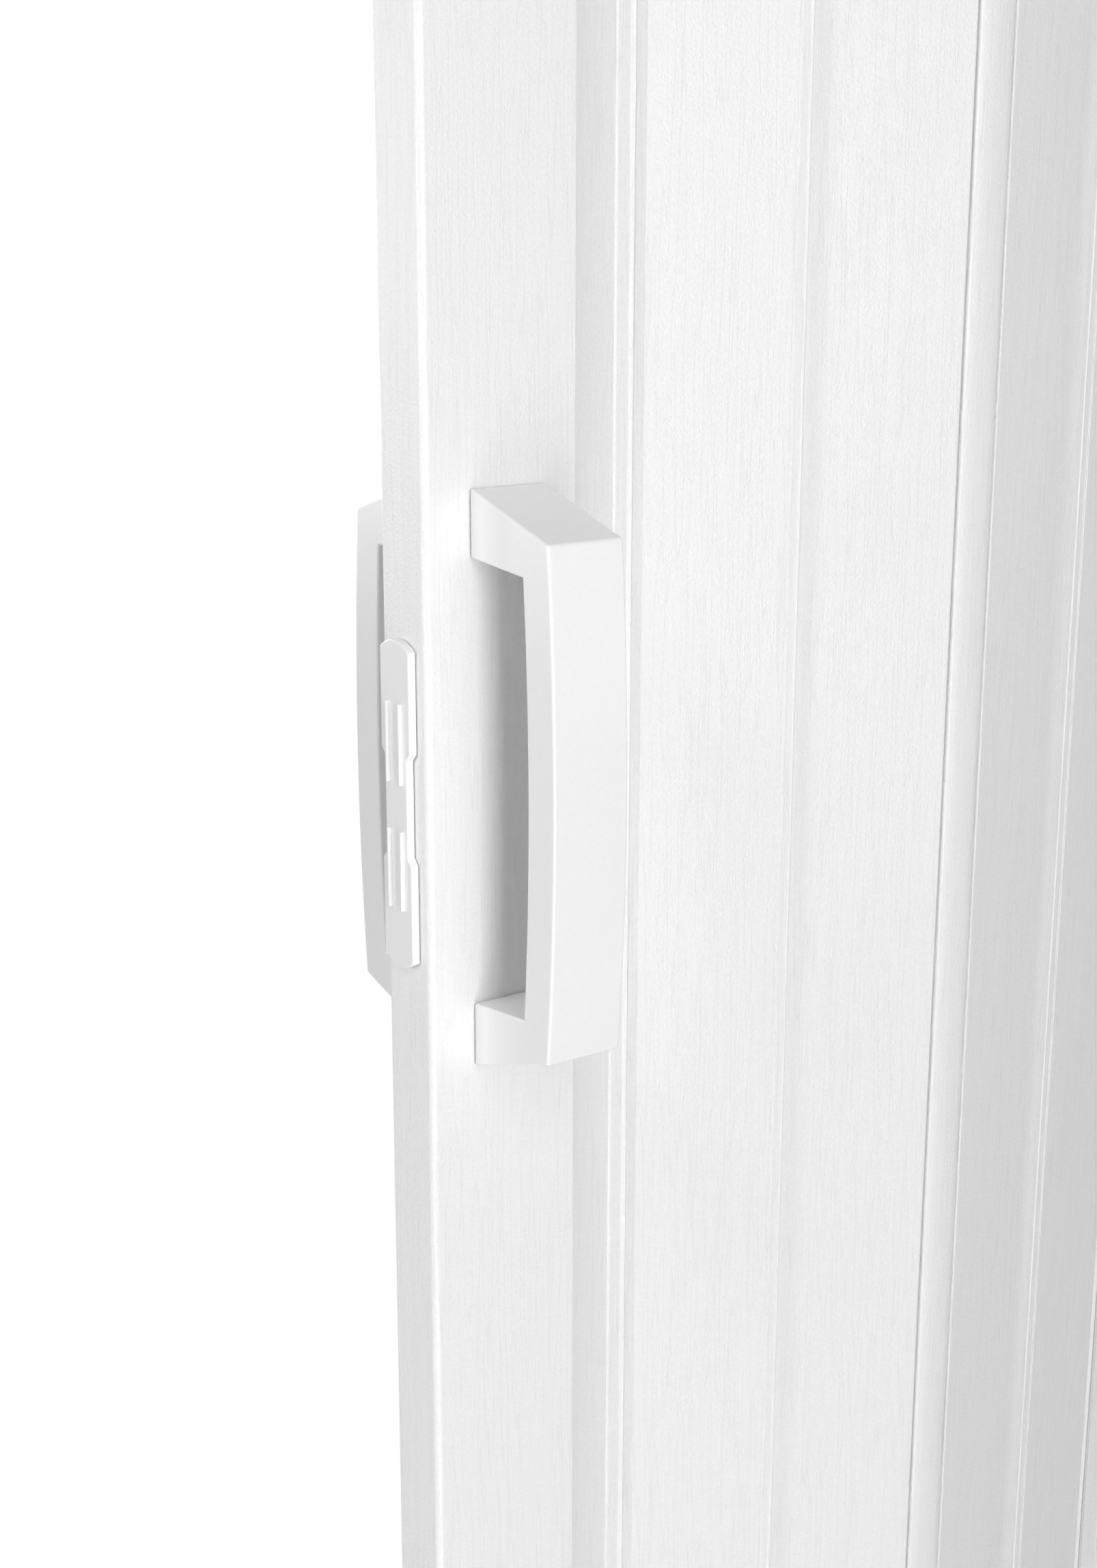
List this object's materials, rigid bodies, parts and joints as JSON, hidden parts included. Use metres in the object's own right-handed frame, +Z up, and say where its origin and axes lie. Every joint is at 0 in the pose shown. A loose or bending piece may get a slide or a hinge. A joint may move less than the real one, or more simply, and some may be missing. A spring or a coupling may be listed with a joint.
{
  "type": "folding door",
  "caption": "White PVC accordion folding door with wood-grain panels, a hollow lead post, bow handles on both faces and a top track.",
  "frame": {"origin": "centre of the top track's upper face, where it is screwed to the lintel", "axes": "+X along the track from the closing side to the wall side, -Y towards the front, +Z up"},
  "size_m": [0.61, 0.1072, 2.03],
  "materials": {
    "embossed_white_pvc": "white rigid PVC profile with a fine vertical wood-grain emboss",
    "gloss_white_plastic": "smooth glossy white moulded plastic",
    "white_enamelled_track": "white stove-enamelled aluminium channel",
    "natural_nylon": "off-white moulded nylon",
    "zinc_plated_steel": "bright zinc plating",
    "turned_brass": "bare turned brass"
  },
  "bodies": {
    "fixed_frame": {"top_track": "white_enamelled_track", "track_cap_closing": "gloss_white_plastic", "track_cap_wall": "gloss_white_plastic", "wall_profile": "embossed_white_pvc", "wall_hinge_stop": "natural_nylon"},
    "panel_4": {"panel_4": "embossed_white_pvc"},
    "strip_3": {"hinge_strip_3": "embossed_white_pvc", "hinge_foot_3": "natural_nylon"},
    "panel_3": {"panel_3": "embossed_white_pvc"},
    "strip_2": {"hinge_strip_2": "embossed_white_pvc", "hinge_foot_2": "natural_nylon", "strip_glider_2": "natural_nylon", "hanger_pin_2": "zinc_plated_steel"},
    "panel_2": {"panel_2": "embossed_white_pvc"},
    "strip_1": {"hinge_strip_1": "embossed_white_pvc", "hinge_foot_1": "natural_nylon"},
    "panel_1": {"panel_1": "embossed_white_pvc"},
    "post": {"lead_post": "embossed_white_pvc", "post_top_cap": "gloss_white_plastic", "post_bottom_cap": "gloss_white_plastic", "post_glider_1": "natural_nylon", "post_glider_2": "natural_nylon", "hanger_screw_1": "zinc_plated_steel", "hanger_screw_2": "zinc_plated_steel", "front_handle": "gloss_white_plastic", "rear_handle": "gloss_white_plastic", "handle_screw_upper": "zinc_plated_steel", "handle_screw_lower": "zinc_plated_steel", "screw_cover_upper": "gloss_white_plastic", "screw_cover_lower": "gloss_white_plastic", "threaded_insert_upper": "turned_brass", "threaded_insert_lower": "turned_brass", "latch_plate": "gloss_white_plastic"}
  },
  "joints": [
    {"name": "panel_4_hinge", "type": "hinge", "parent": "fixed_frame", "child": "panel_4", "pos_m": [0.291, 0, -1], "axis": [0, 0, 1], "range_deg": [-8, 67]},
    {"name": "hinge_strip_3_hinge", "type": "hinge", "parent": "panel_4", "child": "strip_3", "pos_m": [0.17199, -0.02747, -1], "axis": [0, 0, 1], "range_deg": [-67, 8]},
    {"name": "panel_3_hinge", "type": "hinge", "parent": "strip_3", "child": "panel_3", "pos_m": [0.16319, -0.02747, -1], "axis": [0, 0, 1], "range_deg": [-67, 8]},
    {"name": "hinge_strip_2_hinge", "type": "hinge", "parent": "panel_3", "child": "strip_2", "pos_m": [0.04418, 0, -1], "axis": [0, 0, 1], "range_deg": [-8, 67]},
    {"name": "panel_2_hinge", "type": "hinge", "parent": "strip_2", "child": "panel_2", "pos_m": [0.03538, 0, -1], "axis": [0, 0, 1], "range_deg": [-8, 67]},
    {"name": "hinge_strip_1_hinge", "type": "hinge", "parent": "panel_2", "child": "strip_1", "pos_m": [-0.08363, -0.02747, -1], "axis": [0, 0, 1], "range_deg": [-67, 8]},
    {"name": "panel_1_hinge", "type": "hinge", "parent": "strip_1", "child": "panel_1", "pos_m": [-0.09243, -0.02747, -1], "axis": [0, 0, 1], "range_deg": [-67, 8]},
    {"name": "lead_post_hinge", "type": "hinge", "parent": "panel_1", "child": "post", "pos_m": [-0.21144, 0, -1], "axis": [0, 0, 1], "range_deg": [-8, 67]}
  ],
  "couplings": [
    {"joint": "hinge_strip_3_hinge", "follows": "panel_4_hinge", "ratio": -1},
    {"joint": "panel_3_hinge", "follows": "panel_4_hinge", "ratio": -1},
    {"joint": "hinge_strip_2_hinge", "follows": "panel_4_hinge", "ratio": 1},
    {"joint": "panel_2_hinge", "follows": "panel_4_hinge", "ratio": 1},
    {"joint": "hinge_strip_1_hinge", "follows": "panel_4_hinge", "ratio": -1},
    {"joint": "panel_1_hinge", "follows": "panel_4_hinge", "ratio": -1},
    {"joint": "lead_post_hinge", "follows": "panel_4_hinge", "ratio": 1}
  ]
}
